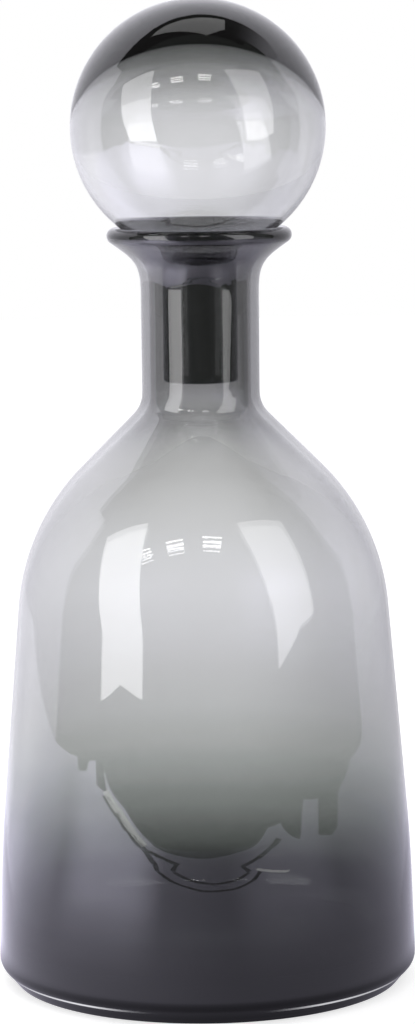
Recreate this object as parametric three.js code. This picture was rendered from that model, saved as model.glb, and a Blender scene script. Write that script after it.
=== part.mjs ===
// A smoke-glass carafe with a loose ball stopper.
// Millimetres, +Z up. The origin is the centre of the ring that the carafe stands on.
// Both pieces are turned outlines: radius along x and height along y, revolved round the axis.

import * as THREE from 'three';

// How finely curves are stepped
const VESSEL_FACETS = 60;
const STOPPER_FACETS = 48;
const CHORD_ERROR = 0.18;
const FLARE_STEP = 3.4;

// Vessel: foot and base, with insets measured in from the body's radius
const BODY_RADIUS = 70.8;
const FOOT_INSET = 5.4;
const FOOT_RING_WIDTH = 5;
const PUNT_DEPTH = 3.5;
const BASE_THICKNESS = 8;
const HEEL_EDGE_INSET = 2.2;
const HEEL_EDGE_HEIGHT = 3.9;
const HEEL_ROUND = 5;

// Vessel: body, from the heel up to the neck
const LOWER_WALL_TAPER = 0.034;
const UPPER_WALL_TAPER = 0.087;
const TAPER_CHANGE_HEIGHT = 45;
const TAPER_CHANGE_BLEND = 14;
const SHOULDER_RADIUS = 75;
const SHOULDER_SLOPE = THREE.MathUtils.degToRad(45);

// Vessel: neck and rolled lip
const NECK_RADIUS = 19.75;
const NECK_ROOT_HEIGHT = 195.2;
const NECK_ROOT_ROUND = 10;
const LIP_HEIGHT = 251.8;
const LIP_RING_RADIUS = 28.15;
const LIP_BEAD_RADIUS = 2.75;
const FLARE_HEIGHT = 19;
const LIP_OUTSIDE_ANGLE = THREE.MathUtils.degToRad(-55);
const LIP_INSIDE_ANGLE = THREE.MathUtils.degToRad(142);

// Vessel: the blown wall is thick in the neck, thins out over the shoulder, and thickens at the heel
const NECK_WALL = 2.8;
const BODY_WALL = 1.3;
const HEEL_WALL = 4.2;
const INNER_HEEL_ROUND = 12;
const INNER_NECK_ROUND = 12;

// Stopper: a blown ball, thin at its waist and heavy at its crown, on a thick drawn shank
const BALL_RADIUS = 42.5;
const BALL_WALL = 0.7;
const BALL_CROWN = 9;
const BALL_BOTTOM_WALL = 1.7;
const SHANK_RADIUS = 12.5;
const SHANK_LENGTH = 42;
const SHANK_END_BEVEL = 0.6;
const SHANK_TOP_ROUND = 3;
const BORE_RADIUS = 3;
const BORE_TOP_ROUND = 2.5;

// The ball rests on the inner shoulder of the lip, with this much clearance
const SEAT_CLEARANCE = 0.3;

const point = (radius, height) => new THREE.Vector2(radius, height);
const beadCentre = point(LIP_RING_RADIUS, LIP_HEIGHT);

// Points along part of an ellipse, stepped by the chord error, with angles in radians
function ellipse(centre, radiusAcross, radiusUp, from, to) {
  const largest = Math.max(radiusAcross, radiusUp);
  const step = 2 * Math.acos(1 - CHORD_ERROR / largest);
  const steps = Math.max(2, Math.ceil(Math.abs(to - from) / step));
  return new THREE.EllipseCurve(centre.x, centre.y, radiusAcross, radiusUp, from, to, to < from)
    .getPoints(steps);
}

const arc = (centre, radius, from, to) => ellipse(centre, radius, radius, from, to);

// The arc that rounds one corner, given either its radius or how far from the corner it starts
function roundedCorner(before, corner, after, { round, blend }) {
  const toBefore = before.clone().sub(corner).normalize();
  const toAfter = after.clone().sub(corner).normalize();
  const halfAngle = Math.acos(toBefore.dot(toAfter)) / 2;
  const radius = round ?? blend * Math.tan(halfAngle);
  const reach = radius / Math.tan(halfAngle);
  const bisector = toBefore.clone().add(toAfter).normalize();
  const centre = corner.clone().addScaledVector(bisector, radius / Math.sin(halfAngle));
  const start = corner.clone().addScaledVector(toBefore, reach).sub(centre).angle();
  const end = corner.clone().addScaledVector(toAfter, reach).sub(centre).angle();
  const turn = THREE.MathUtils.euclideanModulo(end - start + Math.PI, 2 * Math.PI) - Math.PI;
  return arc(centre, radius, start, start + turn);
}

// An outline through corners: its two ends stay sharp, and every corner between them is rounded
function roundedOutline(corners) {
  return corners.flatMap((corner, i) => {
    if (i === 0 || i === corners.length - 1) return [corner.at];
    return roundedCorner(corners[i - 1].at, corner.at, corners[i + 1].at, corner);
  });
}

// One face of the flared mouth: upright where it leaves the neck, and along the lip's bead at its end
function flare(neckPoint, beadAngle) {
  const beadNormal = point(Math.cos(beadAngle), Math.sin(beadAngle));
  const beadPoint = beadCentre.clone().addScaledVector(beadNormal, LIP_BEAD_RADIUS);
  const tangent = point(-beadNormal.y, beadNormal.x);
  const downwards = tangent.y < 0 ? tangent : tangent.negate();
  const span = beadPoint.distanceTo(neckPoint);
  return new THREE.CubicBezierCurve(
    neckPoint,
    neckPoint.clone().add(point(0, span / 2)),
    beadPoint.clone().addScaledVector(downwards, span / 2),
    beadPoint,
  ).getPoints(Math.ceil(span / FLARE_STEP));
}

function revolve(outline, facets, name, material) {
  const distinct = outline.filter((p, i) => i === 0 || p.distanceTo(outline[i - 1]) > 1e-6);
  const geometry = new THREE.LatheGeometry(distinct, facets);
  geometry.rotateX(Math.PI / 2);
  const mesh = new THREE.Mesh(geometry, material);
  mesh.name = name;
  return mesh;
}

// The heel's round edge, from the crisp edge above the foot up to where the wall leaves it
const heelTop = Math.atan(LOWER_WALL_TAPER);
const heelBottom = -Math.acos(1 - HEEL_EDGE_INSET / HEEL_ROUND);
const heelCentre = point(BODY_RADIUS - HEEL_ROUND, HEEL_EDGE_HEIGHT - HEEL_ROUND * Math.sin(heelBottom));

// The side lies on three straight runs: the lower wall, the upper wall and the shoulder's cone.
// These are the corners between them, moved in from the outer face by the wall's thickness.
function bodyCorners(wall) {
  const lowerRun = heelCentre.x + HEEL_ROUND / Math.cos(heelTop) + LOWER_WALL_TAPER * heelCentre.y;
  const changeRadius = lowerRun - LOWER_WALL_TAPER * TAPER_CHANGE_HEIGHT - wall;
  const upperRun = changeRadius + UPPER_WALL_TAPER * TAPER_CHANGE_HEIGHT;
  const rise = Math.tan(SHOULDER_SLOPE);
  const coneRun = NECK_RADIUS + NECK_ROOT_HEIGHT / rise - wall / Math.sin(SHOULDER_SLOPE);
  const shoulderHeight = (coneRun - upperRun) / (1 / rise - UPPER_WALL_TAPER);
  return {
    taperChange: point(changeRadius, TAPER_CHANGE_HEIGHT),
    shoulder: point(upperRun - UPPER_WALL_TAPER * shoulderHeight, shoulderHeight),
    neckRoot: (neckRadius) => point(neckRadius, (coneRun - neckRadius) * rise),
  };
}

function vesselOutline() {
  const outer = bodyCorners(0);
  const inner = bodyCorners(BODY_WALL);
  const boreRadius = NECK_RADIUS - NECK_WALL;
  const flareStart = LIP_HEIGHT - FLARE_HEIGHT;
  const footRadius = BODY_RADIUS - FOOT_INSET;
  const ringInside = footRadius - FOOT_RING_WIDTH;
  const puntRadius = (ringInside ** 2 + PUNT_DEPTH ** 2) / (2 * PUNT_DEPTH);
  const puntEdge = Math.acos(ringInside / puntRadius);

  const underside = arc(point(0, PUNT_DEPTH - puntRadius), puntRadius, Math.PI / 2, puntEdge);
  const heel = arc(heelCentre, HEEL_ROUND, heelBottom, heelTop);
  const outside = roundedOutline([
    { at: heel.at(-1) },
    { at: outer.taperChange, blend: TAPER_CHANGE_BLEND },
    { at: outer.shoulder, round: SHOULDER_RADIUS },
    { at: outer.neckRoot(NECK_RADIUS), round: NECK_ROOT_ROUND },
    { at: point(NECK_RADIUS, flareStart) },
  ]);
  const lip = [
    ...flare(point(NECK_RADIUS, flareStart), LIP_OUTSIDE_ANGLE),
    ...arc(beadCentre, LIP_BEAD_RADIUS, LIP_OUTSIDE_ANGLE, LIP_INSIDE_ANGLE),
    ...flare(point(boreRadius, flareStart), LIP_INSIDE_ANGLE).reverse(),
  ];
  const inside = roundedOutline([
    { at: point(boreRadius, flareStart) },
    { at: bodyCorners(NECK_WALL).neckRoot(boreRadius), round: INNER_NECK_ROUND },
    { at: inner.shoulder, round: SHOULDER_RADIUS - BODY_WALL },
    { at: inner.taperChange, blend: TAPER_CHANGE_BLEND },
    { at: point(BODY_RADIUS - HEEL_WALL, BASE_THICKNESS), round: INNER_HEEL_ROUND },
    { at: point(0, BASE_THICKNESS + PUNT_DEPTH) },
  ]);
  return [...underside, point(footRadius, 0), ...heel, ...outside, ...lip, ...inside];
}

// The stopper's outline is drawn round the middle of its ball
function stopperOutline() {
  const shankEnd = -BALL_RADIUS - SHANK_LENGTH;
  const waist = BALL_RADIUS - BALL_WALL;
  const crownHollow = BALL_RADIUS - BALL_CROWN;
  const bottomHollow = BALL_RADIUS - BALL_BOTTOM_WALL;
  const middle = point(0, 0);

  // Where the shank's top fillet leaves the shank and meets the ball
  const filletRadius = SHANK_RADIUS + SHANK_TOP_ROUND;
  const filletDepth = Math.sqrt((BALL_RADIUS + SHANK_TOP_ROUND) ** 2 - filletRadius ** 2);
  const filletCentre = point(filletRadius, -filletDepth);
  const ballAngle = -Math.atan2(filletDepth, filletRadius);

  // The bore opens into the hollow with a small rounded edge
  const boreAngle = -Math.acos((BORE_RADIUS + BORE_TOP_ROUND) / waist);
  const hollowEdge = bottomHollow * Math.sin(boreAngle);
  const boreEdge = roundedOutline([
    { at: point(waist * Math.cos(boreAngle), hollowEdge) },
    { at: point(BORE_RADIUS, -bottomHollow), round: BORE_TOP_ROUND / 2 },
    { at: point(BORE_RADIUS, shankEnd) },
  ]);
  return [
    ...ellipse(middle, waist, crownHollow, Math.PI / 2, 0),
    ...ellipse(middle, waist, bottomHollow, 0, boreAngle),
    ...boreEdge,
    point(SHANK_RADIUS - SHANK_END_BEVEL, shankEnd),
    point(SHANK_RADIUS, shankEnd + SHANK_END_BEVEL),
    ...arc(filletCentre, SHANK_TOP_ROUND, Math.PI, Math.PI + ballAngle),
    ...arc(middle, BALL_RADIUS, ballAngle, Math.PI / 2),
  ];
}

const vesselGlass = new THREE.MeshStandardMaterial({
  color: 0x6b6d72,
  roughness: 0.05,
  metalness: 0,
  transparent: true,
  opacity: 0.55,
  side: THREE.DoubleSide,
});

const stopperGlass = new THREE.MeshStandardMaterial({
  color: 0x565b5a,
  roughness: 0.05,
  metalness: 0,
  transparent: true,
  opacity: 0.6,
  side: THREE.DoubleSide,
});

const vessel = revolve(vesselOutline(), VESSEL_FACETS, 'vessel', vesselGlass);

const seatReach = BALL_RADIUS + SEAT_CLEARANCE + LIP_BEAD_RADIUS;
const ballHeight = LIP_HEIGHT + Math.sqrt(seatReach ** 2 - LIP_RING_RADIUS ** 2);
const ballStopper = revolve(stopperOutline(), STOPPER_FACETS, 'ball_stopper', stopperGlass);
ballStopper.position.z = ballHeight;

const carafe = new THREE.Group();
carafe.add(vessel, ballStopper);

export default carafe;
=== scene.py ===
"""Smoke-glass carafe with a loose ball stopper: the looks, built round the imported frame."""

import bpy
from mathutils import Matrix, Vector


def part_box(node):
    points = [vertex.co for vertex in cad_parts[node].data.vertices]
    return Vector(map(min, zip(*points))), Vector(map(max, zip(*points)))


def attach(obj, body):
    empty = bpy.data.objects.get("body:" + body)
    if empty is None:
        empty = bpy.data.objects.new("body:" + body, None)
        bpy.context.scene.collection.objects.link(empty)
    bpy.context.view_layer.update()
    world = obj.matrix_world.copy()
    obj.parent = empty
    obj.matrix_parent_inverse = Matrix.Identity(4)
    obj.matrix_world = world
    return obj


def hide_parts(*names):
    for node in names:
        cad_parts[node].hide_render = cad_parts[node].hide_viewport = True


bl_info = {
    "name": "Smoke-glass carafe",
    "version": (1, 0, 0),
    "blender": (4, 5, 0),
    "location": "3D View > Sidebar > Carafe",
    "description": "Builds a blown carafe, its ball stopper and a plain studio round them",
    "category": "Object",
}

import math

import bmesh
import bpy
from bpy.props import FloatProperty, FloatVectorProperty, IntProperty, PointerProperty
from mathutils import Matrix, Vector

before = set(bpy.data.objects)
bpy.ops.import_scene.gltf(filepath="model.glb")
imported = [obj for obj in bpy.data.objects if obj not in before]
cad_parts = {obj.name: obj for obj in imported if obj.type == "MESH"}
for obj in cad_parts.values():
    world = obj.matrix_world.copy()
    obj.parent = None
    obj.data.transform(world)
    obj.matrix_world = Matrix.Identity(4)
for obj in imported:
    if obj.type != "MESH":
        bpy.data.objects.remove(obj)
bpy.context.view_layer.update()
STOPPER_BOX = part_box("ball_stopper")

MM = 0.001

# How finely the outlines are stepped, in metres, the widest step round a small edge, and how near
# two points count as one
ARC_STEP = 1.2 * MM
RUN_STEP = 2.5 * MM
EDGE_TURN = math.radians(12)
SAME_POINT = 1e-6

# Fire-polishing rounds each edge that turns by more than this, by this radius, and takes up this
# share of the faces beside it at most
SHARP_TURN = math.radians(25)
POLISHED_EDGE = 0.35 * MM
POLISHED_SHARE = 0.45


def linear(hex_colour):
    """The linear RGB of an sRGB hex colour."""
    channels = [int(hex_colour[i : i + 2], 16) / 255 for i in (1, 3, 5)]
    return tuple(c / 12.92 if c <= 0.04045 else ((c + 0.055) / 1.055) ** 2.4 for c in channels)


def size(name, description, millimetres):
    """A length that the user can change."""
    return FloatProperty(
        name=name, description=description, default=millimetres * MM, min=0.0, precision=4, unit="LENGTH"
    )


def tint(name, description, hex_colour):
    """A colour that the user can change."""
    return FloatVectorProperty(
        name=name, description=description, default=linear(hex_colour), min=0.0, max=1.0, size=3,
        subtype="COLOR",
    )


def amount(name, description, value):
    """A brightness or a density that the user can change."""
    return FloatProperty(name=name, description=description, default=value, min=0.0)


class VesselSizes(bpy.types.PropertyGroup):
    """Sizes of the blown vessel."""

    foot_radius: size("Foot radius", "Outer edge of the ring that the carafe stands on", 65.4)
    foot_ring: size("Foot ring", "Width of the flat standing ring", 5)
    punt_depth: size("Punt depth", "How far the underside is pushed up in the middle", 3.5)
    base_thickness: size("Base thickness", "Glass over the punt, at the axis", 8)
    heel_edge_radius: size("Heel edge radius", "Radius of the crisp edge above the foot", 68.6)
    heel_edge_height: size("Heel edge height", "Height of the crisp edge above the foot", 3.9)
    heel_round: size("Heel round", "Round between the crisp edge and the wall", 5)
    body_radius: size("Body radius", "Widest radius of the body", 70.8)
    taper_change: size("Taper change", "Height at which the wall starts to lean in more", 45)
    taper_blend: size("Taper blend", "Length of the blend on each side of that height", 14)
    shoulder_radius: size("Shoulder radius", "Round between the wall and the shoulder's cone", 75)
    neck_radius: size("Neck radius", "Outer radius of the straight neck", 19.75)
    neck_root_height: size("Neck root height", "Height at which the shoulder's cone meets the neck", 195.2)
    neck_root_round: size("Neck root round", "Round between the shoulder and the neck", 10)
    lip_height: size("Lip height", "Height of the middle of the lip's bead", 251.8)
    lip_ring_radius: size("Lip ring radius", "Radius of the ring on which the lip's bead lies", 28.15)
    lip_bead_radius: size("Lip bead radius", "Radius of the fire-polished bead", 2.75)
    flare_height: size("Flare height", "Height of the flared mouth", 19)
    neck_wall: size("Neck wall", "Thickness of the glass in the neck", 2.8)
    body_wall: size("Body wall", "Thickness of the glass in the body", 1.3)
    heel_wall: size("Heel wall", "Thickness of the glass at the heel", 4.2)
    inner_round: size("Inner round", "Round inside the heel and under the neck", 12)
    facets: IntProperty(name="Facets", description="Facets round the axis", default=224, min=24, max=512)


class StopperSizes(bpy.types.PropertyGroup):
    """Sizes of the ball stopper."""

    ball_radius: size("Ball radius", "Outer radius of the blown ball", 42.5)
    ball_wall: size("Ball wall", "Thickness of the glass at the ball's waist", 0.7)
    ball_crown: size("Ball crown", "Thickness of the glass at the ball's top", 9)
    ball_bottom_wall: size("Ball bottom wall", "Thickness of the glass at the ball's bottom", 1.7)
    shank_radius: size("Shank radius", "Outer radius of the shank", 12.5)
    shank_length: size("Shank length", "From the ball's lowest point to the shank's end", 42)
    shank_bevel: size("Shank bevel", "Bevel at the shank's ground end", 0.6)
    shank_top_round: size("Shank top round", "Round between the shank and the ball", 3)
    bore_radius: size("Bore radius", "Radius of the air way through the shank", 3)
    bore_top_round: size("Bore top round", "Round where the bore opens into the ball", 2.5)
    facets: IntProperty(name="Facets", description="Facets round the axis", default=192, min=24, max=512)


class GlassLook(bpy.types.PropertyGroup):
    """Colours of the smoke glass."""

    vessel_depth_colour: tint("Vessel smoke", "What the vessel's glass lets through", "#696e62")
    stopper_depth_colour: tint("Stopper smoke", "What the stopper's glass lets through", "#696e62")
    vessel_smoke: amount("Vessel smoke density", "Absorption per metre of glass", 125.0)
    stopper_smoke: amount("Stopper smoke density", "Absorption per metre of glass", 145.0)
    ripple: size("Ripple", "Depth of the waves that blowing leaves in the surface", 0.06)


class StudioLook(bpy.types.PropertyGroup):
    """The plain studio: what the glass reflects, and the light on the table."""

    backdrop: tint("Backdrop", "White cloth behind and overhead, as reflections show it", "#f3f2fa")
    backdrop_light: amount("Backdrop light", "Radiance of the backdrop overhead", 1.65)
    room: tint("Room", "The dim room in front", "#828683")
    table: tint("Table", "The white table, as reflections show it", "#ebe8fd")
    table_light: amount("Table light", "Radiance of the table in front", 1.15)
    left_light: amount("Left softbox", "Radiance of the left softbox", 4.6)
    right_light: amount("Right softbox", "Radiance of the right softbox", 3.0)
    panel_light: amount("Panel light", "Radiance of the ceiling panels", 18.0)
    card_light: amount("Card light", "Radiance of the overhead card", 1.5)
    cloth_light: amount("Shade cloth light", "Radiance of the dark cloth behind the card", 0.12)
    paper_shadow: amount("Paper shadow", "Radiance of the shadow along a sheet of paper's edge", 0.2)
    paper_glint: amount("Paper glint", "Radiance of a corner of paper that catches the light", 3.5)
    ambient: amount("Ambient", "Soft light on the table", 0.64)
    lamp_power: amount("Lamp power", "Watts of the lamp that throws the soft shadow", 5.6)
    lens: FloatProperty(
        name="Lens", description="Focal length of the camera", default=124.3, min=1.0, unit="CAMERA"
    )


class CarafeSettings(bpy.types.PropertyGroup):
    """All settings of the carafe."""

    vessel: PointerProperty(type=VesselSizes)
    stopper: PointerProperty(type=StopperSizes)
    glass: PointerProperty(type=GlassLook)
    studio: PointerProperty(type=StudioLook)


# Outlines are lists of points: radius from the axis, and height


def ellipse_points(centre, across, up, start, end):
    """Points along part of an ellipse, in radians, close enough to stay smooth in a reflection."""
    length = max(across, up) * abs(end - start)
    steps = max(2, math.ceil(length / ARC_STEP), math.ceil(abs(end - start) / EDGE_TURN))
    angles = [start + (end - start) * i / steps for i in range(steps + 1)]
    return [Vector((centre.x + across * math.cos(a), centre.y + up * math.sin(a))) for a in angles]


def arc_points(centre, radius, start, end):
    """Points along part of a circle."""
    return ellipse_points(centre, radius, radius, start, end)


def rounded_corner(before, corner, after, round_radius=None, blend=None):
    """The arc that rounds a corner, given its radius or how far from the corner it starts."""
    to_before = (before - corner).normalized()
    to_after = (after - corner).normalized()
    half_angle = to_before.angle(to_after) / 2
    radius = blend * math.tan(half_angle) if round_radius is None else round_radius
    reach = radius / math.tan(half_angle)
    centre = corner + (to_before + to_after).normalized() * (radius / math.sin(half_angle))
    first = corner + to_before * reach - centre
    last = corner + to_after * reach - centre
    start = math.atan2(first.y, first.x)
    turn = (math.atan2(last.y, last.x) - start + math.pi) % math.tau - math.pi
    return arc_points(centre, radius, start, start + turn)


def rounded_outline(corners):
    """An outline through corners: its ends stay sharp and every corner between them is rounded."""
    points = [corners[0][0]]
    for (before, *_), (corner, how), (after, *_) in zip(corners, corners[1:], corners[2:]):
        points += rounded_corner(before, corner, after, **how)
    return points + [corners[-1][0]]


def polished_edges(outline):
    """Rounds each sharp vertex, as polishing rounds a glass edge."""
    points = [outline[0]]
    for before, corner, after in zip(outline, outline[1:], outline[2:]):
        to_before, to_after = before - corner, after - corner
        turn = math.pi - to_before.angle(to_after)
        if turn < SHARP_TURN:
            points.append(corner)
            continue
        room = min(to_before.length, to_after.length) * POLISHED_SHARE
        fits = min(POLISHED_EDGE, room / math.tan(turn / 2))
        points += rounded_corner(before, corner, after, round_radius=fits)
    return points + [outline[-1]]


def filled_runs(outline):
    """Adds points along the straight runs, so that the surface can carry a ripple."""
    points = [outline[0]]
    for last, here in zip(outline, outline[1:]):
        steps = max(1, math.ceil((here - last).length / RUN_STEP))
        points += [last.lerp(here, i / steps) for i in range(1, steps + 1)]
    return points


def distinct(outline):
    """The outline without points that repeat the one before."""
    points = [outline[0]]
    for here in outline[1:]:
        if (here - points[-1]).length > SAME_POINT:
            points.append(here)
    return points


def bezier(a, b, c, d, steps):
    """Points along a cubic curve from a to d."""
    points = []
    for i in range(steps + 1):
        t = i / steps
        points.append(a * (1 - t) ** 3 + b * 3 * t * (1 - t) ** 2 + c * 3 * t * t * (1 - t) + d * t**3)
    return points


# How much the wall leans in per metre of height, and where round the lip's bead the flare's two
# faces meet it
LOWER_TAPER = 0.034
UPPER_TAPER = 0.087
LIP_OUTSIDE = math.radians(-55)
LIP_INSIDE = math.radians(142)


def flare(s, neck_radius, bead_angle):
    """One face of the flared mouth, from the neck up to the lip's bead."""
    start = Vector((neck_radius, s.lip_height - s.flare_height))
    normal = Vector((math.cos(bead_angle), math.sin(bead_angle)))
    end = Vector((s.lip_ring_radius, s.lip_height)) + normal * s.lip_bead_radius
    down = Vector((-normal.y, normal.x))
    if down.y > 0:
        down = -down
    span = (end - start).length
    steps = math.ceil(span / ARC_STEP)
    return bezier(start, start + Vector((0, span / 2)), end + down * (span / 2), end, steps)


def vessel_outline(s):
    """The vessel's section, from the underside's middle up the outside, over the lip and down inside."""
    heel_top = math.atan(LOWER_TAPER)
    heel_bottom = -math.acos(1 - (s.body_radius - s.heel_edge_radius) / s.heel_round)
    heel_centre = Vector((
        s.body_radius - s.heel_round, s.heel_edge_height - s.heel_round * math.sin(heel_bottom),
    ))

    def body_corners(wall):
        """Corners of the face this deep in the glass: between the tapers, and at the 45 degree shoulder.

        The third result gives the shoulder's point at any radius.
        """
        lower = heel_centre.x + s.heel_round / math.cos(heel_top) + LOWER_TAPER * heel_centre.y
        change = lower - LOWER_TAPER * s.taper_change - wall
        upper = change + UPPER_TAPER * s.taper_change
        cone = s.neck_radius + s.neck_root_height - wall * math.sqrt(2)
        shoulder = (cone - upper) / (1 - UPPER_TAPER)
        corners = Vector((change, s.taper_change)), Vector((upper - UPPER_TAPER * shoulder, shoulder))
        return *corners, lambda radius: Vector((radius, cone - radius))

    ring_inside = s.foot_radius - s.foot_ring
    punt_radius = (ring_inside**2 + s.punt_depth**2) / (2 * s.punt_depth)
    flare_start = s.lip_height - s.flare_height
    bore = s.neck_radius - s.neck_wall

    punt_centre = Vector((0, s.punt_depth - punt_radius))
    underside = arc_points(punt_centre, punt_radius, math.pi / 2, math.acos(ring_inside / punt_radius))
    heel = arc_points(heel_centre, s.heel_round, heel_bottom, heel_top)
    change, shoulder, neck_root = body_corners(0)
    outside = rounded_outline([
        (heel[-1],),
        (change, {"blend": s.taper_blend}),
        (shoulder, {"round_radius": s.shoulder_radius}),
        (neck_root(s.neck_radius), {"round_radius": s.neck_root_round}),
        (Vector((s.neck_radius, flare_start)),),
    ])
    bead = arc_points(Vector((s.lip_ring_radius, s.lip_height)), s.lip_bead_radius, LIP_OUTSIDE, LIP_INSIDE)
    lip = flare(s, s.neck_radius, LIP_OUTSIDE) + bead + flare(s, bore, LIP_INSIDE)[::-1]
    change, shoulder, _ = body_corners(s.body_wall)
    *_, neck_root = body_corners(s.neck_wall)
    inside = rounded_outline([
        (Vector((bore, flare_start)),),
        (neck_root(bore), {"round_radius": s.inner_round}),
        (shoulder, {"round_radius": s.shoulder_radius - s.body_wall}),
        (change, {"blend": s.taper_blend}),
        (Vector((s.body_radius - s.heel_wall, s.base_thickness)), {"round_radius": s.inner_round}),
        (Vector((0, s.base_thickness + s.punt_depth)),),
    ])
    whole = distinct(underside + [Vector((s.foot_radius, 0))] + heel + outside + lip + inside)
    return filled_runs(polished_edges(whole))


def stopper_outline(s, ball_height):
    """The stopper's section: down through the hollow and the bore, and up the outside."""
    shank_end = -s.ball_radius - s.shank_length
    waist = s.ball_radius - s.ball_wall
    bottom = s.ball_radius - s.ball_bottom_wall
    middle = Vector((0, 0))
    fillet_radius = s.shank_radius + s.shank_top_round
    fillet_depth = math.sqrt((s.ball_radius + s.shank_top_round) ** 2 - fillet_radius**2)
    ball_angle = -math.atan2(fillet_depth, fillet_radius)
    bore_angle = -math.acos((s.bore_radius + s.bore_top_round) / waist)
    bore = rounded_outline([
        (Vector((waist * math.cos(bore_angle), bottom * math.sin(bore_angle))),),
        (Vector((s.bore_radius, -bottom)), {"round_radius": s.bore_top_round / 2}),
        (Vector((s.bore_radius, shank_end)),),
    ])
    end_bevel = [
        Vector((s.shank_radius - s.shank_bevel, shank_end)),
        Vector((s.shank_radius, shank_end + s.shank_bevel)),
    ]
    top_round = Vector((fillet_radius, -fillet_depth))
    whole = distinct(
        ellipse_points(middle, waist, s.ball_radius - s.ball_crown, math.pi / 2, 0)
        + ellipse_points(middle, waist, bottom, 0, bore_angle)
        + bore
        + end_bevel
        + arc_points(top_round, s.shank_top_round, math.pi, math.pi + ball_angle)
        + arc_points(middle, s.ball_radius, ball_angle, math.pi / 2)
    )
    return [p + Vector((0, ball_height)) for p in filled_runs(polished_edges(whole))]


# The waves that blowing leaves in each piece: lobes round the axis, turn per metre of height, and
# start. The second wave is this much weaker than the first.
VESSEL_WAVES = ((3, 61, 0.7), (5, -93, 2.1))
STOPPER_WAVES = ((2, 70, 1.3), (5, 120, 0.0))
SECOND_WAVE = 0.6

# The heel, the flare and the shank were shaped by tools and have no waves. Each pair is where the
# waves start and where they are full: heights on the vessel, and the radius on the stopper.
WAVES_OVER_HEEL = (0.012, 0.032)
WAVES_UNDER_FLARE = (0.225, 0.205)
WAVES_ON_BALL = (0.02, 0.035)


def blown_wave(angle, height, waves):
    """How far the waves push the surface in here, from 0 to 1."""
    first, second = (math.sin(lobes * angle + turn * height + start) for lobes, turn, start in waves)
    return (1 + SECOND_WAVE + first + SECOND_WAVE * second) / (2 + 2 * SECOND_WAVE)


def share(value, start, full):
    """0 before start, 1 past full, and even between them."""
    return min(1, max(0, (value - start) / (full - start)))


def turned_piece(name, outline, facets, material, ripple):
    """Turns an outline round the axis. ripple(radius, height, angle) says how far in a point goes."""
    mesh = bmesh.new()
    rings = []
    for radius, height in outline:
        if radius < SAME_POINT:
            rings.append([mesh.verts.new((0, 0, height))])
            continue
        ring = []
        for i in range(facets):
            angle = math.tau * i / facets
            r = radius - ripple(radius, height, angle)
            ring.append(mesh.verts.new((r * math.cos(angle), r * math.sin(angle), height)))
        rings.append(ring)
    for low, high in zip(rings, rings[1:]):
        for i in range(facets):
            j = (i + 1) % facets
            corners = [low[i % len(low)], low[j % len(low)], high[j % len(high)], high[i % len(high)]]
            face = mesh.faces.new(list(dict.fromkeys(corners)))
            face.smooth = True
    bmesh.ops.recalc_face_normals(mesh, faces=mesh.faces)
    data = bpy.data.meshes.new(name)
    mesh.to_mesh(data)
    mesh.free()
    data.materials.append(material)
    piece = bpy.data.objects.new(name, data)
    bpy.context.scene.collection.objects.link(piece)
    return piece


# A Mix node's sockets go by number, since their names repeat: the factor, two values, two colours,
# and the output that is a colour
FACTOR, VALUE_A, VALUE_B, COLOUR_A, COLOUR_B = 0, 2, 3, 6, 7
MIXED_COLOUR = 2


def add_node(tree, kind, inputs=(), **settings):
    """Adds a node with its settings. Inputs take values or links, by name or from the first one on."""
    node = tree.nodes.new(kind)
    for name, value in settings.items():
        setattr(node, name, value)
    for key, value in inputs.items() if isinstance(inputs, dict) else enumerate(inputs):
        if isinstance(value, bpy.types.NodeSocket):
            tree.links.new(value, node.inputs[key])
        else:
            node.inputs[key].default_value = value
    return node


def new_material(name):
    """An empty node material, with its tree and its output."""
    material = bpy.data.materials.new(name)
    material.use_nodes = True
    tree = material.node_tree
    tree.nodes.clear()
    return material, tree, add_node(tree, "ShaderNodeOutputMaterial")


def rgba(colour):
    """A colour as nodes take it."""
    return (*colour, 1.0)


def shading(tree, *ranged, level=1.0):
    """A level, times what each range makes of its value.

    A range is where it starts and ends, and its level at each end. It eases from the one to the
    other, as light does at a soft edge.
    """
    for value, fade in ranged:
        inputs = (value, *fade)
        eased = add_node(tree, "ShaderNodeMapRange", inputs, interpolation_type="SMOOTHSTEP").outputs[0]
        level = add_node(tree, "ShaderNodeMath", (level, eased), operation="MULTIPLY").outputs[0]
    return level


# A painted highlight along the heel's crisp edge: a thin pale line, by distance from the edge,
# at both sides of the carafe, by distance from the middle
HEEL_HIGHLIGHT_LINE = (0.35 * MM, 0.55 * MM, 1.0, 0.0)
HEEL_HIGHLIGHT_SIDES = (14 * MM, 40 * MM, 0.0, 1.0)
HEEL_HIGHLIGHT_PAINT = "#eeeef2"

# Heights in millimetres, and what one wall lets through there: dark at the foot, clear at the shoulder,
# and darker again over the lip, partly for its thick glass and partly as painted shade
OMBRE_AND_LIP_SHADE = (
    (5, "#1b1b1c"),
    (16, "#1b1b1c"),
    (25, "#454747"),
    (30, "#707372"),
    (37, "#838685"),
    (44, "#9b9e9d"),
    (49.6, "#a4a7a6"),
    (52.6, "#adb0af"),
    (58, "#babdbc"),
    (62, "#c2c5c4"),
    (67, "#cfd1d0"),
    (73, "#d5d7d6"),
    (81, "#dedfdf"),
    (93, "#e2e2e3"),
    (103, "#e7e7e9"),
    (118, "#ededef"),
    (140, "#f9f9fb"),
    (165, "#fcfcfd"),
    (172, "#fcfcfd"),
    (180, "#fafafb"),
    (184, "#f4f4f6"),
    (187, "#eaeaec"),
    (190, "#dddddf"),
    (203, "#cecdd0"),
    (242, "#cecdd0"),
    # Over the lip the tint darkens: partly the thick bead's smoke, partly painted shade for the dark room it
    # mirrors
    (246.5, "#7b7a7d"),
    (255, "#7b7a7d"),
)

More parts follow.
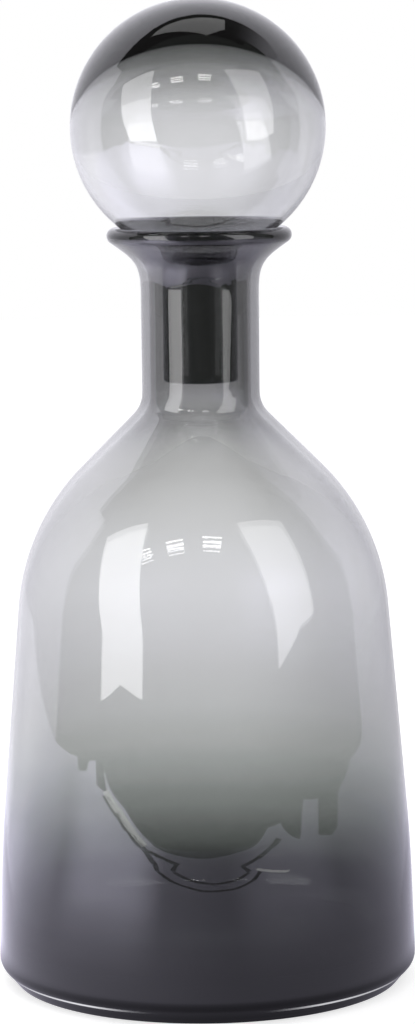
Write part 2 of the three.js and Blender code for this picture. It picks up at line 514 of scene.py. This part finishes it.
# Heights in millimetres from the ball's middle: the smoke is thinnest under its waist, and deep in
# the shank
BALL_TINT = (
    (-90, "#cfced2"),
    (-47, "#cfced2"),
    (-41, "#fcfcfe"),
    (-14, "#fcfcfe"),
    (4, "#f2f2f4"),
    (45, "#f2f2f4"),
)


def height_tint(tree, stops, zero=0.0):
    """The colour at each height, from stops in millimetres above zero."""
    place = add_node(tree, "ShaderNodeTexCoord").outputs["Object"]
    height = add_node(tree, "ShaderNodeSeparateXYZ", (place,)).outputs["Z"]
    low, high = stops[0][0], stops[-1][0]
    along = add_node(tree, "ShaderNodeMapRange", (height, zero + low * MM, zero + high * MM)).outputs[0]
    ramp = add_node(tree, "ShaderNodeValToRGB", (along,))
    elements = ramp.color_ramp.elements
    while len(elements) < len(stops):
        elements.new(0.5)
    for element, (at, colour) in zip(elements, stops):
        element.position = (at - low) / (high - low)
        element.color = rgba(linear(colour))
    return ramp.outputs["Color"]


def smoke_glass(name, faces, depth_colour, density):
    """Clear glass whose faces take a tint and whose depth holds smoke.

    faces(tree) makes the inputs of the shader that differ from clear glass.
    """
    material, tree, output = new_material(name)
    shader = add_node(tree, "ShaderNodeBsdfPrincipled", {
        "Roughness": 0.0, "IOR": 1.5, "Transmission Weight": 1.0, **faces(tree),
    })
    smoke = add_node(tree, "ShaderNodeVolumeAbsorption", (rgba(depth_colour), density))
    tree.links.new(shader.outputs["BSDF"], output.inputs["Surface"])
    tree.links.new(smoke.outputs["Volume"], output.inputs["Volume"])
    return material


def vessel_glass(look, edge_height):
    """Smoke soda-lime glass, blown in a mould and fire-polished, flashed dark at the foot.

    The smoke is in the depth of the glass, so edges and the thick heel go darker than the walls.
    The flashing is a thin dark coat that fades out at half height. Along the heel's crisp edge, at
    both sides, a thin line is painted pale and opaque: a painted highlight.
    """
    def faces(tree):
        place = add_node(tree, "ShaderNodeTexCoord").outputs["Object"]
        along = add_node(tree, "ShaderNodeSeparateXYZ", (place,)).outputs
        from_edge = add_node(tree, "ShaderNodeMath", (along["Z"], edge_height), operation="SUBTRACT")
        off_edge = add_node(tree, "ShaderNodeMath", (from_edge.outputs[0],), operation="ABSOLUTE").outputs[0]
        sideways = add_node(tree, "ShaderNodeMath", (along["X"],), operation="ABSOLUTE").outputs[0]
        # Painted highlight: along the heel's edge, at both sides, the glass is painted pale and opaque
        painted_highlight = shading(tree, (off_edge, HEEL_HIGHLIGHT_LINE), (sideways, HEEL_HIGHLIGHT_SIDES))
        clear = add_node(tree, "ShaderNodeMath", (1.0, painted_highlight), operation="SUBTRACT").outputs[0]
        colour = add_node(tree, "ShaderNodeMix", {
            FACTOR: painted_highlight, COLOUR_A: height_tint(tree, OMBRE_AND_LIP_SHADE), COLOUR_B: rgba(linear(HEEL_HIGHLIGHT_PAINT)),
        }, data_type="RGBA").outputs[MIXED_COLOUR]
        return {"Base Color": colour, "Transmission Weight": clear}

    return smoke_glass("blown_smoke_glass", faces, look.vessel_depth_colour, look.vessel_smoke)


def stopper_glass(look, ball_height):
    """Smoke soda-lime glass, free-blown, with a drawn shank whose end is ground flat.

    The smoke is in the depth of the glass, so the thick crown and the shank look dark and the thin
    waist looks clear. Blowing leaves the surface smooth, with slow waves in what it mirrors.
    """
    def faces(tree):
        return {"Base Color": height_tint(tree, BALL_TINT, ball_height)}

    return smoke_glass("free_blown_smoke_glass", faces, look.stopper_depth_colour, look.stopper_smoke)


class CARAFE_OT_blown_vessel(bpy.types.Operator):
    """Builds the blown vessel in place of its plain solid"""

    bl_idname = "carafe.blown_vessel"
    bl_label = "Blown vessel"

    def execute(self, context):
        settings = context.scene.carafe
        s, depth = settings.vessel, settings.glass.ripple

        def ripple(radius, height, angle):
            blown = share(height, *WAVES_OVER_HEEL) * share(height, *WAVES_UNDER_FLARE)
            return depth * blown * blown_wave(angle, height, VESSEL_WAVES)

        material = vessel_glass(settings.glass, s.heel_edge_height)
        piece = turned_piece("blown_vessel", vessel_outline(s), s.facets, material, ripple)
        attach(piece, "vessel")
        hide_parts("vessel")
        return {"FINISHED"}


class CARAFE_OT_ball_stopper(bpy.types.Operator):
    """Builds the ball stopper in place of its plain solid"""

    bl_idname = "carafe.ball_stopper"
    bl_label = "Ball stopper"

    def execute(self, context):
        settings = context.scene.carafe
        s, depth = settings.stopper, settings.glass.ripple
        ball_height = STOPPER_BOX[1][2] - s.ball_radius

        def ripple(radius, height, angle):
            return depth * share(radius, *WAVES_ON_BALL) * blown_wave(angle, height, STOPPER_WAVES)

        material = stopper_glass(settings.glass, ball_height)
        outline = stopper_outline(s, ball_height)
        piece = turned_piece("ball_stopper_glass", outline, s.facets, material, ripple)
        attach(piece, "stopper")
        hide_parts("ball_stopper")
        return {"FINISHED"}


# The studio, in metres from the middle of the foot. Where the softboxes, the ceiling's panels and the
# table's edges lie is worked out from where the ball and the body each mirror them.

# The backdrop stands behind and over the carafe. Its middle is this far to the left of straight
# behind, and it reaches this far to each side, low down and high up.
BACKDROP_TURN = math.radians(3.8)
BACKDROP_SPREAD = math.radians(78.5)
BACKDROP_HIGH_SPREAD = math.radians(84)

# Ranges over the direction of a ray: the backdrop's reach by height, how soft its edge is, and how
# bright it is by height and from left to right
BACKDROP_EDGE = (0.25, 0.5, math.cos(BACKDROP_SPREAD), math.cos(BACKDROP_HIGH_SPREAD))
BACKDROP_BLUR = (-0.006, 0.006, 0.0, 1.0)
BACKDROP_UPWARD = (-0.1, 0.6, 0.64, 1.0)
BACKDROP_SIDEWAYS = (-0.6, 0.6, 1.12, 0.88)

# Through the glass, the white behind it shades off to both sides. These ranges are over how far a
# ray leans to the side: near the left, near the right, and farther out on each side.
BACKDROP_LEFT_SHADE = (-0.04, -0.005, 0.88, 1.0)
TABLE_LEFT_SHADE = (-0.04, -0.005, 0.96, 1.0)
OTHER_SIDE_SHADES = ((0.005, 0.048, 1.0, 0.78), (-0.06, -0.16, 1.0, 0.85), (0.06, 0.16, 1.0, 0.5))

LEFT_SOFTBOX = (
    (-0.623, -0.857, 0.088), (-0.803, -0.596, 1.379), (-1.007, -0.178, 0.861), (-1.115, -0.58, 0.061),
    (-1.02, -0.63, 0.0695), (-0.86, -0.723, 0.0855), (-0.8, -0.757, 0.0865),
)
RIGHT_SOFTBOX = (
    (0.695, -0.719, 0.101), (0.825, -0.535, 0.114), (0.94, -0.342, 0.209), (0.961, -0.276, 1.132),
    (0.462, -0.698, 1.279),
)

# A card hangs overhead, and dark cloth hangs just over it and wider. The cloth thins to the right.
OVERHEAD = 2.0
CLOTH_OVER_CARD = 0.01
OVERHEAD_CARD = ((-0.87, 0.41), (-0.58, 0.59), (-0.3, 0.67), (0.46, 0.83), (0.5, 0.34), (0.19, -0.03))
OVERHEAD_SHADE = (
    (-2.3, 0.0), (-2.3, 0.6), (-1.47, 0.58), (-0.92, 0.66), (-0.35, 0.86), (0.05, 0.97), (0.89, 1.02),
    (1.39, 1.07), (2.08, 0.95), (2.0, 0.3), (1.0, 0.2), (1.0, 0.0),
)
CLOTH_THINNING = (0.6, 1.8, 1.0, 0.2)

# Louvred panels in the ceiling, each seen as bright bars: their height, width, number of bars, depth
# from the first bar to the last, depth of a bar, and middles
CEILING = 2.5
PANEL_SIDE = 0.6
PANEL_BARS = 3
PANEL_DEPTH = 0.4
PANEL_BAR = 0.06
PANEL_PLACES = ((-2.195, -2.22), (-0.945, -2.22), (0.31, -2.19))

# The table lies just under the foot, with sheets of paper on its front: the outlines of two edges,
# where a corner catches the light, and how wide such a line is one metre from the foot
TABLE_HEIGHT = -0.2 * MM
TABLE = (
    (-1.2, 3.0), (-1.12, 0.11), (-1.21, -0.05), (-1.34, -0.29), (-1.23, -0.3), (-1.31, -0.45),
    (-1.45, -0.54), (-1.57, -0.78), (-1.53, -0.86), (-1.27, -0.88), (-1.0, -0.99), (-0.77, -0.97),
    (-0.58, -0.98), (-0.32, -0.92), (-0.05, -0.91), (0.22, -0.99), (0.53, -1.07), (0.75, -1.12),
    (0.85, -0.98), (0.78, -0.72), (0.76, -0.6), (1.08, -0.75), (1.04, -0.49), (0.77, -0.39),
    (0.72, -0.24), (0.75, -0.19), (0.97, -0.2), (1.0, -0.08), (1.06, 0.0), (1.0, 0.18), (1.19, 0.34),
    (1.1, 3.0),
)
PAPER_HEIGHT = -0.1 * MM
PAPER_EDGES = (
    (
        (-1.56, -0.89), (-1.19, -0.78), (-0.98, -0.87), (-0.79, -0.88), (-0.56, -0.87), (-0.32, -0.66),
        (-0.26, -0.57), (-0.15, -0.51), (-0.01, -0.47), (0.12, -0.47), (0.21, -0.5), (0.29, -0.57),
    ),
    (
        (-0.49, -0.84), (-0.32, -0.8), (-0.19, -0.75), (-0.18, -0.62), (-0.06, -0.555), (0.04, -0.535),
        (0.14, -0.55), (0.23, -0.6), (0.22, -0.71), (0.37, -0.78), (0.59, -0.9), (0.72, -0.92),
    ),
)
PAPER_CORNERS = (
    ((-1.24, -0.83), (-0.97, -0.925), (-0.77, -0.925), (-0.57, -0.92)),
    ((0.306, -0.606), (0.397, -0.413)),
)
PAPER_EDGE_WIDTH = 0.065

# The laminate's paint, and how much of its white is the table's own glow to the camera
LAMINATE = "#cfcfd0"
LAMINATE_GLOW = 0.69

# Ranges over the table, by how far behind the foot: where its white fades through the glass, and
# where its colour in reflections goes over to the backdrop's
TABLE_FADING = (0.6, 2.6, 1.0, 0.83)
TABLE_TO_BACKDROP = (0.1, 0.5, 0.0, 1.0)

# Its brightness in reflections: from left to right, and by distance from the foot: the shade beside
# the foot, the glow near it, and where the sheens start and fade. Each sheen lies round a direction,
# counted from straight in front, with this gain in its middle.
TABLE_SIDEWAYS = (-1.0, 0.3, 1.38, 0.75)
FOOT_SHADE = (0.064, 0.105, 0.25, 1.0)
NEAR_GLOW = (0.2, 0.6, 1.18, 1.0)
SHEEN_START = (0.12, 0.38, 0.0, 1.0)
SHEEN_FADING = (0.7, 1.3, 1.0, 0.6)
SHEEN_SPREAD = math.radians(32)
TABLE_SHEENS = ((math.radians(-105), 0.5), (math.radians(-52), 2.0), (math.radians(42), 0.5))

# The lamp that throws the carafe's soft shadow on the table
LAMP_SIZES = (1.4, 1.0)
LAMP_PLACE = (-0.3, 0.1, 1.6)

# The camera, and how far it is tilted round its view
EYE = Vector((0, -1.18, 0.3121))
AIM = Vector((0.0017, 0, 0.1587))
CAMERA_ROLL = math.radians(-0.673)


def side_shade(tree, sideways, left_shade):
    """A white that shades off to both sides."""
    return shading(tree, *((sideways, fade) for fade in (left_shade, *OTHER_SIDE_SHADES)))


def white_to_camera(tree, shade):
    """1 to the camera, and the shade to the glass in front."""
    straight = add_node(tree, "ShaderNodeLightPath").outputs["Is Camera Ray"]
    return add_node(tree, "ShaderNodeMix", {FACTOR: straight, VALUE_A: shade, VALUE_B: 1.0}).outputs[0]


def reflected_only(tree):
    """1 for a ray that the glass has reflected, 0 for one that has come straight or through it."""
    depth = add_node(tree, "ShaderNodeLightPath").outputs["Glossy Depth"]
    return add_node(tree, "ShaderNodeMath", (depth, 0.5), operation="GREATER_THAN").outputs[0]


def flat_sheet(name, corners, material):
    """A flat sheet that isn't part of the object, from its corners in order."""
    data = bpy.data.meshes.new(name)
    data.from_pydata(corners, [], [range(len(corners))])
    data.materials.append(material)
    sheet = bpy.data.objects.new(name, data)
    bpy.context.scene.collection.objects.link(sheet)
    return sheet


def glowing(name, strength, thinning=None):
    """A flat thing that shows in reflections alone: woven fabric, card, cloth or a pressed louvre.

    Each is matt, so the glass mirrors it as one even tone, and its light is all that it needs.
    thinning is a range over how far to the right, for a cloth that covers less there.
    """
    material, tree, output = new_material(name)
    light = add_node(tree, "ShaderNodeEmission", {"Strength": strength})
    clear = add_node(tree, "ShaderNodeBsdfTransparent")
    cover = reflected_only(tree)
    if thinning:
        place = add_node(tree, "ShaderNodeTexCoord").outputs["Object"]
        sideways = add_node(tree, "ShaderNodeSeparateXYZ", (place,)).outputs["X"]
        cover = shading(tree, (sideways, thinning), level=cover)
    mix = add_node(tree, "ShaderNodeMixShader", (cover, clear.outputs[0], light.outputs[0]))
    tree.links.new(mix.outputs[0], output.inputs["Surface"])
    material.cycles.emission_sampling = "NONE"
    return material


def table_glow(tree):
    """How bright the table is to the glass: a sheen below each softbox, and the shade round the foot."""
    place = add_node(tree, "ShaderNodeTexCoord").outputs["Object"]
    around = add_node(tree, "ShaderNodeVectorMath", (place,), operation="NORMALIZE").outputs["Vector"]
    away = add_node(tree, "ShaderNodeVectorMath", (place,), operation="LENGTH").outputs["Value"]
    sideways = add_node(tree, "ShaderNodeSeparateXYZ", (around,)).outputs["X"]
    level = shading(tree, (sideways, TABLE_SIDEWAYS))
    beyond = shading(tree, (away, SHEEN_START), (away, SHEEN_FADING))
    for turn, gain in TABLE_SHEENS:
        axis = (math.sin(turn), -math.cos(turn), 0)
        toward = add_node(tree, "ShaderNodeVectorMath", (around, axis), operation="DOT_PRODUCT")
        sheen = shading(tree, (toward.outputs["Value"], (math.cos(SHEEN_SPREAD), 1.0, 0.0, gain)))
        level = add_node(tree, "ShaderNodeMath", (sheen, beyond, level), operation="MULTIPLY_ADD").outputs[0]
    return shading(tree, (away, NEAR_GLOW), (away, FOOT_SHADE), level=level)


def table_top(studio):
    """White laminate, pressed smooth.

    It is pale and matt to the camera, with the carafe's soft shadow on it, and has a sheen to the
    glass.
    """
    material, tree, output = new_material("white_laminate")
    place = add_node(tree, "ShaderNodeTexCoord").outputs["Object"]
    along = add_node(tree, "ShaderNodeSeparateXYZ", (place,)).outputs
    from_eye = add_node(tree, "ShaderNodeMath", (along["Y"], EYE.y), operation="SUBTRACT").outputs[0]
    sideways = add_node(tree, "ShaderNodeMath", (along["X"], from_eye), operation="DIVIDE").outputs[0]
    sides = side_shade(tree, sideways, TABLE_LEFT_SHADE)
    shade = white_to_camera(tree, shading(tree, (along["Y"], TABLE_FADING), level=sides))
    paint = add_node(tree, "ShaderNodeVectorMath", {
        "Vector": linear(LAMINATE), "Scale": shade,
    }, operation="SCALE")
    matt = add_node(tree, "ShaderNodeBsdfDiffuse", {"Color": paint.outputs["Vector"]})
    level = add_node(tree, "ShaderNodeMath", (shade, LAMINATE_GLOW), operation="MULTIPLY").outputs[0]
    glow = add_node(tree, "ShaderNodeEmission", {"Strength": level})
    seen = add_node(tree, "ShaderNodeAddShader", (matt.outputs[0], glow.outputs[0]))
    near, far = ([c * studio.table_light for c in colour] for colour in (studio.table, studio.backdrop))
    lit = add_node(tree, "ShaderNodeMix", {
        FACTOR: shading(tree, (along["Y"], TABLE_TO_BACKDROP)), COLOUR_A: rgba(near), COLOUR_B: rgba(far),
    }, data_type="RGBA").outputs[MIXED_COLOUR]
    sheen = add_node(tree, "ShaderNodeEmission", {"Color": lit, "Strength": table_glow(tree)})
    mix = add_node(tree, "ShaderNodeMixShader", (reflected_only(tree), seen.outputs[0], sheen.outputs[0]))
    tree.links.new(mix.outputs[0], output.inputs["Surface"])
    material.cycles.emission_sampling = "NONE"
    return material


class CARAFE_OT_studio(bpy.types.Operator):
    """Builds the table, the light and the camera"""

    bl_idname = "carafe.studio"
    bl_label = "Studio"

    def execute(self, context):
        scene = context.scene
        studio = scene.carafe.studio
        scene.view_settings.view_transform = "Standard"
        self.light_world(scene, studio)
        self.place_sheets(studio)
        self.light_table(scene, studio)
        self.place_camera(scene, studio)
        return {"FINISHED"}

    def light_world(self, scene, studio):
        """White to the camera, the backdrop and the room to the glass, and soft light on the table."""
        world = bpy.data.worlds.new("studio")
        world.use_nodes = True
        scene.world = world
        tree = world.node_tree
        tree.nodes.clear()
        direction = add_node(tree, "ShaderNodeTexCoord").outputs["Generated"]
        along = add_node(tree, "ShaderNodeSeparateXYZ", (direction,)).outputs
        axis = (-math.sin(BACKDROP_TURN), math.cos(BACKDROP_TURN), 0)
        toward = add_node(tree, "ShaderNodeVectorMath", (direction, axis), operation="DOT_PRODUCT")
        edge = shading(tree, (along["Z"], BACKDROP_EDGE))
        within = add_node(tree, "ShaderNodeMath", (toward.outputs["Value"], edge), operation="SUBTRACT")
        on_backdrop = shading(tree, (within.outputs[0], BACKDROP_BLUR))
        level = shading(tree, (along["Z"], BACKDROP_UPWARD), (along["X"], BACKDROP_SIDEWAYS))
        lit = [c * studio.backdrop_light for c in studio.backdrop]
        cloth = add_node(tree, "ShaderNodeVectorMath", {"Vector": lit, "Scale": level}, operation="SCALE")
        around = add_node(tree, "ShaderNodeMix", {
            FACTOR: on_backdrop, COLOUR_A: rgba(studio.room), COLOUR_B: cloth.outputs["Vector"],
        }, data_type="RGBA").outputs[MIXED_COLOUR]
        white = white_to_camera(tree, side_shade(tree, along["X"], BACKDROP_LEFT_SHADE))
        seen = add_node(tree, "ShaderNodeMix", {
            FACTOR: reflected_only(tree), COLOUR_A: white, COLOUR_B: around,
        }, data_type="RGBA").outputs[MIXED_COLOUR]
        on_table = add_node(tree, "ShaderNodeLightPath").outputs["Is Diffuse Ray"]
        colour = add_node(tree, "ShaderNodeMix", {
            FACTOR: on_table, COLOUR_A: seen, COLOUR_B: rgba([studio.ambient] * 3),
        }, data_type="RGBA").outputs[MIXED_COLOUR]
        light = add_node(tree, "ShaderNodeBackground", {"Color": colour, "Strength": 1.0})
        add_node(tree, "ShaderNodeOutputWorld", {"Surface": light.outputs[0]})

    def place_sheets(self, studio):
        """The table with the paper on it, and the lights and the dark cloth that the glass mirrors."""
        flat_sheet("table", [(x, y, TABLE_HEIGHT) for x, y in TABLE], table_top(studio))
        for name, lines, material in (
            ("paper_edge", PAPER_EDGES, glowing("paper_edge_shadow", studio.paper_shadow)),
            ("paper_corner", PAPER_CORNERS, glowing("paper_corner_light", studio.paper_glint)),
        ):
            for i, points in enumerate(lines):
                self.place_line(f"{name}_{i + 1}", points, material)
        card = [(*c, OVERHEAD) for c in OVERHEAD_CARD]
        cloth = [(*c, OVERHEAD + CLOTH_OVER_CARD) for c in OVERHEAD_SHADE]
        for name, corners, material in (
            ("softbox_left", LEFT_SOFTBOX, glowing("left_softbox_fabric", studio.left_light)),
            ("softbox_right", RIGHT_SOFTBOX, glowing("right_softbox_fabric", studio.right_light)),
            ("overhead_card", card, glowing("overhead_card_paper", studio.card_light)),
            ("overhead_shade", cloth, glowing("shade_cloth", studio.cloth_light, CLOTH_THINNING)),
        ):
            self.place_light(name, corners, material)
        louvre = glowing("ceiling_louvre", studio.panel_light)
        for i, (x, y) in enumerate(PANEL_PLACES):
            left, right = x - PANEL_SIDE / 2, x + PANEL_SIDE / 2
            for bar in range(PANEL_BARS):
                near = y - PANEL_DEPTH / 2 + bar * (PANEL_DEPTH - PANEL_BAR) / (PANEL_BARS - 1)
                far = near + PANEL_BAR
                corners = [(*c, CEILING) for c in ((left, near), (right, near), (right, far), (left, far))]
                self.place_light(f"ceiling_panel_{i + 1}_{bar + 1}", corners, louvre)

    def place_line(self, name, points, material):
        """A thin line on the table, wider the farther it is, since the glass's curve shrinks what is far."""
        for i, (start, end) in enumerate(zip(points, points[1:])):
            start, end = Vector((*start, PAPER_HEIGHT)), Vector((*end, PAPER_HEIGHT))
            width = PAPER_EDGE_WIDTH * ((start + end) / 2).length_squared
            side = Vector((start.y - end.y, end.x - start.x, 0)).normalized() * width
            self.place_light(f"{name}_{i + 1}", [start, end, end + side, start + side], material)

    def place_light(self, name, corners, material):
        """A sheet that only the glass shows."""
        sheet = flat_sheet(name, corners, material)
        sheet.visible_camera = False
        sheet.visible_diffuse = False
        sheet.visible_shadow = False

    def light_table(self, scene, studio):
        """The lamp over the table, which the glass doesn't show."""
        lamp = bpy.data.lights.new("overhead", "AREA")
        lamp.shape = "RECTANGLE"
        lamp.size, lamp.size_y = LAMP_SIZES
        lamp.energy = studio.lamp_power
        overhead = bpy.data.objects.new("overhead", lamp)
        overhead.location = LAMP_PLACE
        overhead.rotation_euler = (-Vector(LAMP_PLACE)).to_track_quat("-Z", "Y").to_euler()
        overhead.visible_camera = False
        overhead.visible_glossy = False
        overhead.visible_transmission = False
        scene.collection.objects.link(overhead)

    def place_camera(self, scene, studio):
        """The camera at the photograph's viewing angle."""
        data = bpy.data.cameras.new("camera")
        data.sensor_fit = "VERTICAL"
        data.sensor_height = 36.0
        data.lens = studio.lens
        camera = bpy.data.objects.new("camera", data)
        turn = (AIM - EYE).to_track_quat("-Z", "Y").to_matrix().to_4x4()
        camera.matrix_world = Matrix.Translation(EYE) @ turn @ Matrix.Rotation(CAMERA_ROLL, 4, "Z")
        scene.collection.objects.link(camera)
        scene.camera = camera


class CARAFE_PT_sidebar(bpy.types.Panel):
    """Lists the carafe's pieces and their settings"""

    bl_idname = "CARAFE_PT_sidebar"
    bl_label = "Carafe"
    bl_space_type = "VIEW_3D"
    bl_region_type = "UI"
    bl_category = "Carafe"

    def draw(self, context):
        settings = context.scene.carafe
        groups = (
            (CARAFE_OT_blown_vessel, settings.vessel),
            (CARAFE_OT_ball_stopper, settings.stopper),
            (CARAFE_OT_studio, settings.studio),
            (None, settings.glass),
        )
        for operator, group in groups:
            box = self.layout.box()
            if operator:
                box.operator(operator.bl_idname)
            for name in group.bl_rna.properties.keys():
                if name not in {"rna_type", "name"}:
                    box.prop(group, name)


CLASSES = (
    VesselSizes,
    StopperSizes,
    GlassLook,
    StudioLook,
    CarafeSettings,
    CARAFE_OT_blown_vessel,
    CARAFE_OT_ball_stopper,
    CARAFE_OT_studio,
    CARAFE_PT_sidebar,
)


def register():
    for item in CLASSES:
        bpy.utils.register_class(item)
    bpy.types.Scene.carafe = PointerProperty(type=CarafeSettings)


def unregister():
    del bpy.types.Scene.carafe
    for item in reversed(CLASSES):
        bpy.utils.unregister_class(item)


def main():
    """Builds everything."""
    register()
    bpy.ops.carafe.blown_vessel()
    bpy.ops.carafe.ball_stopper()
    bpy.ops.carafe.studio()


if __name__ == "__main__":
    main()
